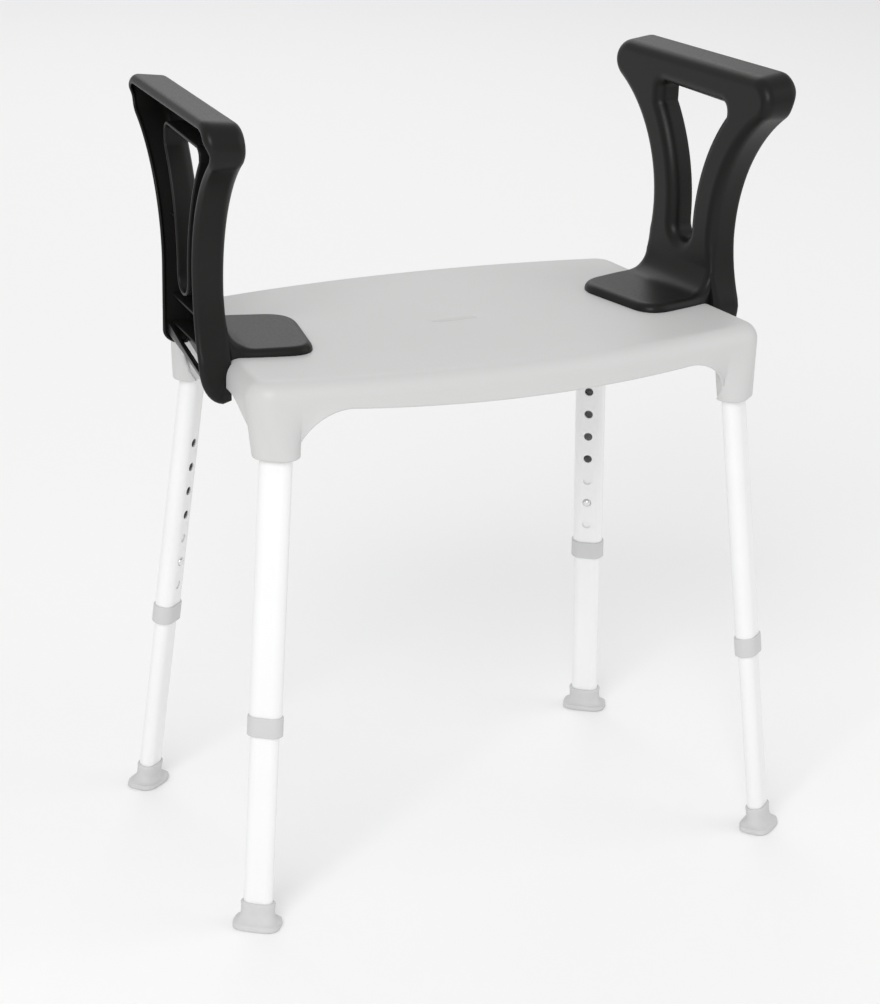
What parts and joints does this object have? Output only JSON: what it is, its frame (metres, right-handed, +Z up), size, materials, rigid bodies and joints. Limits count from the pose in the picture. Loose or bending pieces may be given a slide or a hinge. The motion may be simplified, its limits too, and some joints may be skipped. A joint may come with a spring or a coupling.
{
  "type": "shower stool",
  "caption": "Shower stool with a one-piece moulded seat, two clip-on armrests with hand openings and four splayed legs of adjustable height with snap buttons and rubber feet.",
  "frame": {"origin": "on the floor, under the middle of the seat", "axes": "+Z up, -Y towards the front (the wider side), +X towards the right armrest as seen from the front"},
  "size_m": [0.5812, 0.3686, 0.7305],
  "materials": {
    "seat": "satin moulded, fine grain",
    "armrest": "satin moulded, charcoal",
    "tube": "satin anodised",
    "trim": "satin moulded",
    "foot": "matt",
    "steel": "polished"
  },
  "bodies": {
    "stool": {"seat_shell": "seat", "left_armrest": "armrest", "right_armrest": "armrest", "front_left_upper_tube": "tube", "front_left_collar": "trim", "front_left_lock_spring": "steel", "front_right_upper_tube": "tube", "front_right_collar": "trim", "front_right_lock_spring": "steel", "rear_left_upper_tube": "tube", "rear_left_collar": "trim", "rear_left_lock_spring": "steel", "rear_right_upper_tube": "tube", "rear_right_collar": "trim", "rear_right_lock_spring": "steel"},
    "front_left_leg": {"front_left_lower_tube": "tube", "front_left_glide_sleeve": "trim", "front_left_snap_spring": "steel", "front_left_foot": "foot", "front_left_foot_washer": "steel"},
    "front_left_snap": {"front_left_snap_button": "steel"},
    "front_left_lock": {"front_left_lock_button": "seat"},
    "front_right_leg": {"front_right_lower_tube": "tube", "front_right_glide_sleeve": "trim", "front_right_snap_spring": "steel", "front_right_foot": "foot", "front_right_foot_washer": "steel"},
    "front_right_snap": {"front_right_snap_button": "steel"},
    "front_right_lock": {"front_right_lock_button": "seat"},
    "rear_left_leg": {"rear_left_lower_tube": "tube", "rear_left_glide_sleeve": "trim", "rear_left_snap_spring": "steel", "rear_left_foot": "foot", "rear_left_foot_washer": "steel"},
    "rear_left_snap": {"rear_left_snap_button": "steel"},
    "rear_left_lock": {"rear_left_lock_button": "seat"},
    "rear_right_leg": {"rear_right_lower_tube": "tube", "rear_right_glide_sleeve": "trim", "rear_right_snap_spring": "steel", "rear_right_foot": "foot", "rear_right_foot_washer": "steel"},
    "rear_right_snap": {"rear_right_snap_button": "steel"},
    "rear_right_lock": {"rear_right_lock_button": "seat"}
  },
  "joints": [
    {"name": "front_left_leg_slide", "type": "slide", "parent": "stool", "child": "front_left_leg", "axis": [-0.0745, -0.0933, -0.9928], "range_m": [-0.125, 0.025]},
    {"name": "front_left_snap_press", "type": "slide", "parent": "front_left_leg", "child": "front_left_snap", "axis": [-0.6192, -0.7761, 0.1194], "range_m": [0, 0.004], "stiffness_N_per_m": 1500, "springref_m": -0.002, "deforming": ["front_left_snap_spring"]},
    {"name": "front_left_lock_press", "type": "slide", "parent": "stool", "child": "front_left_lock", "axis": [0.6192, 0.7761, -0.1194], "range_m": [0, 0.0028], "stiffness_N_per_m": 1500, "springref_m": -0.002, "deforming": ["front_left_lock_spring"]},
    {"name": "front_right_leg_slide", "type": "slide", "parent": "stool", "child": "front_right_leg", "axis": [0.0745, -0.0933, -0.9928], "range_m": [-0.125, 0.025]},
    {"name": "front_right_snap_press", "type": "slide", "parent": "front_right_leg", "child": "front_right_snap", "axis": [0.6192, -0.7761, 0.1194], "range_m": [0, 0.004], "stiffness_N_per_m": 1500, "springref_m": -0.002, "deforming": ["front_right_snap_spring"]},
    {"name": "front_right_lock_press", "type": "slide", "parent": "stool", "child": "front_right_lock", "axis": [-0.6192, 0.7761, -0.1194], "range_m": [0, 0.0028], "stiffness_N_per_m": 1500, "springref_m": -0.002, "deforming": ["front_right_lock_spring"]},
    {"name": "rear_left_leg_slide", "type": "slide", "parent": "stool", "child": "rear_left_leg", "axis": [-0.0745, 0.0933, -0.9928], "range_m": [-0.125, 0.025]},
    {"name": "rear_left_snap_press", "type": "slide", "parent": "rear_left_leg", "child": "rear_left_snap", "axis": [-0.6192, 0.7761, 0.1194], "range_m": [0, 0.004], "stiffness_N_per_m": 1500, "springref_m": -0.002, "deforming": ["rear_left_snap_spring"]},
    {"name": "rear_left_lock_press", "type": "slide", "parent": "stool", "child": "rear_left_lock", "axis": [0.6192, -0.7761, -0.1194], "range_m": [0, 0.0028], "stiffness_N_per_m": 1500, "springref_m": -0.002, "deforming": ["rear_left_lock_spring"]},
    {"name": "rear_right_leg_slide", "type": "slide", "parent": "stool", "child": "rear_right_leg", "axis": [0.0745, 0.0933, -0.9928], "range_m": [-0.125, 0.025]},
    {"name": "rear_right_snap_press", "type": "slide", "parent": "rear_right_leg", "child": "rear_right_snap", "axis": [0.6192, 0.7761, 0.1194], "range_m": [0, 0.004], "stiffness_N_per_m": 1500, "springref_m": -0.002, "deforming": ["rear_right_snap_spring"]},
    {"name": "rear_right_lock_press", "type": "slide", "parent": "stool", "child": "rear_right_lock", "axis": [-0.6192, -0.7761, -0.1194], "range_m": [0, 0.0028], "stiffness_N_per_m": 1500, "springref_m": -0.002, "deforming": ["rear_right_lock_spring"]}
  ]
}
